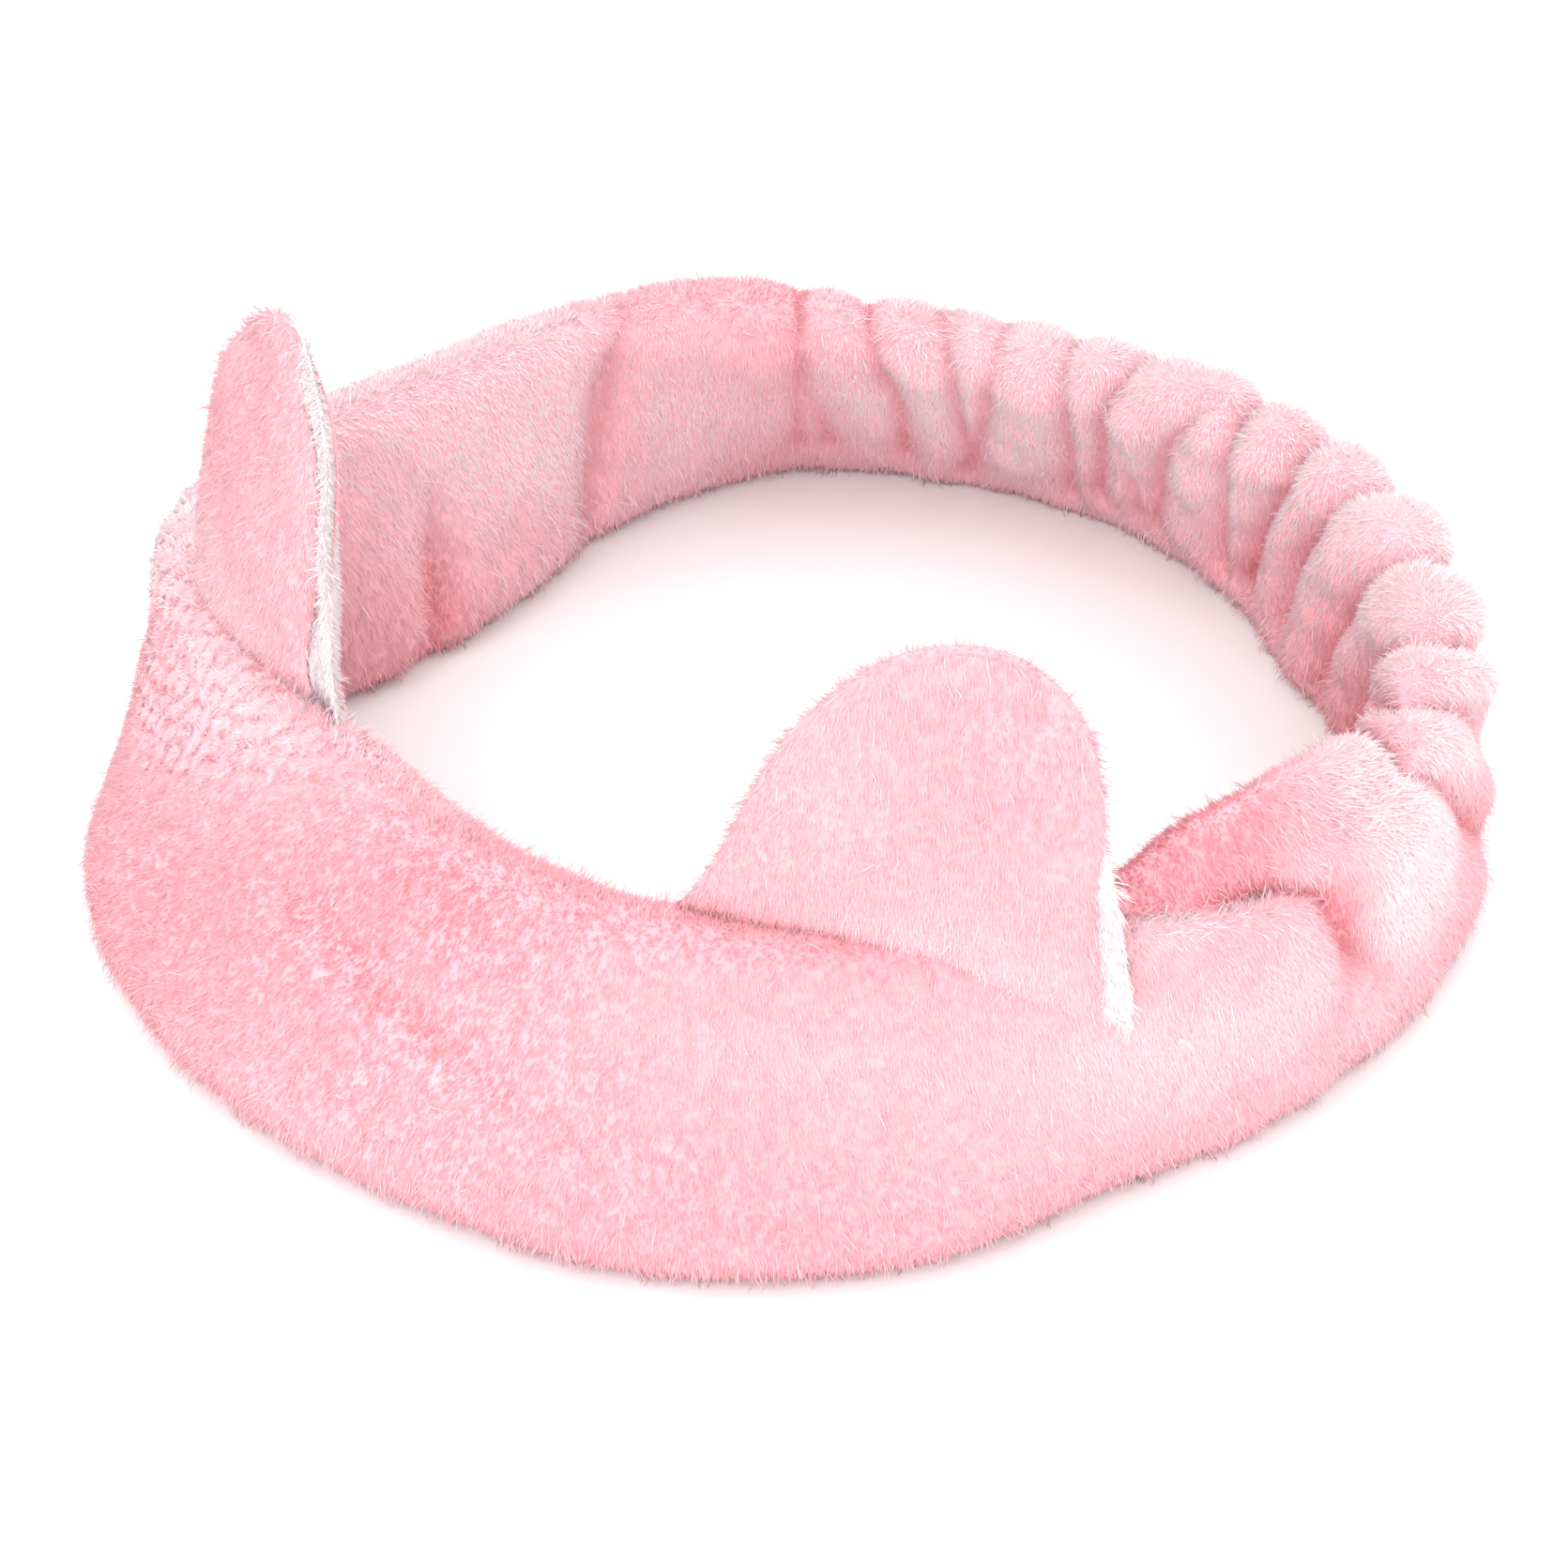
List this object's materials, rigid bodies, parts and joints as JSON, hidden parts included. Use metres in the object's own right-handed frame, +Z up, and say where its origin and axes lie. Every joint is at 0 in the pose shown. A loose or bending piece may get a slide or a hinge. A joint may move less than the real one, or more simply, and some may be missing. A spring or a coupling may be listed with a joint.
{
  "type": "spa headband",
  "caption": "Padded plush loop for holding hair back, gathered on an elastic strip behind the head, with round stuffed ears sewn to its upper edge.",
  "frame": {"origin": "middle of the footprint, on the plane the loop stands on", "axes": "+Z up, out of the loop's opening; -Y towards the forehead side, between the ears; +X towards the wearer's left as they face -Y"},
  "size_m": [0.1778, 0.1932, 0.0825],
  "materials": {
    "pink_plush": "short raised pile",
    "white_plush": "short raised pile",
    "foam": "soft wadding",
    "elastic": "woven",
    "thread": "twisted"
  },
  "bodies": {
    "front_band": {"outer_panel": "pink_plush", "lining_panel": "pink_plush", "foam_pad": "foam", "top_seam_thread": "thread", "bottom_seam_thread": "thread", "right_join_thread": "thread", "left_join_thread": "thread", "left_ear_base_thread": "thread", "right_ear_base_thread": "thread"},
    "elastic_back": {"elastic_sleeve": "pink_plush", "elastic_strip": "elastic"},
    "left_ear": {"left_ear_front": "pink_plush", "left_ear_back": "white_plush", "left_ear_wadding": "foam", "left_ear_edge_thread": "thread"},
    "right_ear": {"right_ear_front": "pink_plush", "right_ear_back": "white_plush", "right_ear_wadding": "foam", "right_ear_edge_thread": "thread"}
  },
  "joints": [
    {"name": "elastic_stretch", "type": "slide", "parent": "front_band", "child": "elastic_back", "axis": [0.4462, 0.8949, 0], "range_m": [0, 0.03], "stiffness_N_per_m": 60},
    {"name": "left_ear_fold", "type": "hinge", "parent": "front_band", "child": "left_ear", "pos_m": [-0.05372, -0.05489, 0.0417], "axis": [0.934, -0.3568, -0.0167], "range_deg": [-10, 45], "stiffness_Nm_per_rad": 0.01},
    {"name": "right_ear_fold", "type": "hinge", "parent": "front_band", "child": "right_ear", "pos_m": [0.04682, -0.05763, 0.04157], "axis": [0.9181, 0.3674, -0.1487], "range_deg": [-5, 45], "stiffness_Nm_per_rad": 0.01}
  ]
}
